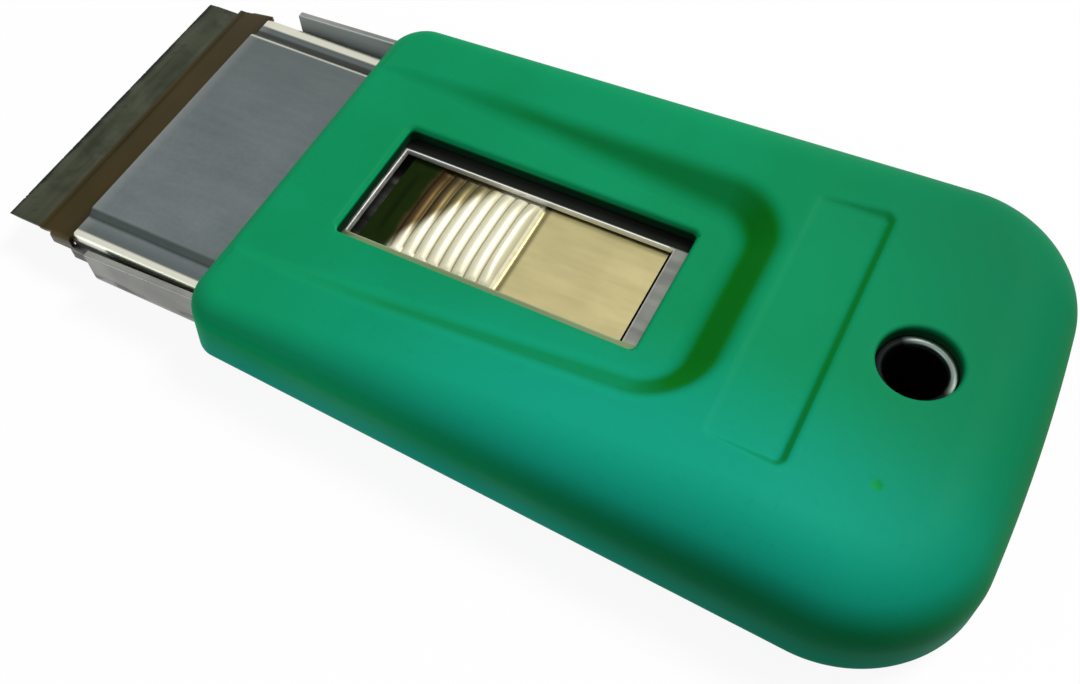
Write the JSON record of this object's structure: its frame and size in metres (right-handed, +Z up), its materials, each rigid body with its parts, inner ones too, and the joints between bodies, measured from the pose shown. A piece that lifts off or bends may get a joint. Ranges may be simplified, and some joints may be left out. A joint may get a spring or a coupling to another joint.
{
  "type": "razor blade scraper",
  "caption": "Palm-size scraper with a thumb-driven blade carrier sliding in a folded steel sleeve inside a moulded plastic handle with a hang hole.",
  "frame": {"origin": "on the flat resting face, below the middle of the overall length and width, with the blade out in its working place", "axes": "+X from the cutting edge towards the hang hole, +Y to the left of a user who points the blade away from themself, seen from above as the far side in the picture, +Z up from the resting face through the thumb window"},
  "size_m": [0.1152, 0.0558, 0.0143],
  "materials": {
    "handle_plastic": "green moulded plastic with a soft sheen",
    "sleeve_steel": "bright zinc-plated sheet steel",
    "tray_steel": "zinc-plated sheet steel",
    "blade_steel": "dark hardened blade steel with a ground edge",
    "nose_steel": "browned spring steel",
    "cover_steel": "satin blue-grey sheet steel",
    "spring_steel": "yellow-passivated spring steel, shiny",
    "fastener_steel": "plain bright steel"
  },
  "bodies": {
    "handle": {"handle_shell": "handle_plastic", "guide_sleeve": "sleeve_steel", "hang_eyelet": "fastener_steel"},
    "carrier": {"carrier_tray": "tray_steel", "blade_studs": "fastener_steel", "razor_blade": "blade_steel", "clamp_nose": "nose_steel", "cover_plate": "cover_steel", "cover_rivets": "fastener_steel", "thumb_rivets": "fastener_steel"},
    "thumb": {"thumb_spring": "spring_steel"}
  },
  "joints": [
    {"name": "carrier_slide", "type": "slide", "parent": "handle", "child": "carrier", "axis": [1, 0, 0], "range_m": [-0.0018, 0.0148]},
    {"name": "thumb_press", "type": "hinge", "parent": "carrier", "child": "thumb", "pos_m": [0.01565, 0, 0.0049], "axis": [0, -1, 0], "range_deg": [0, 1.6], "stiffness_Nm_per_rad": 3}
  ]
}
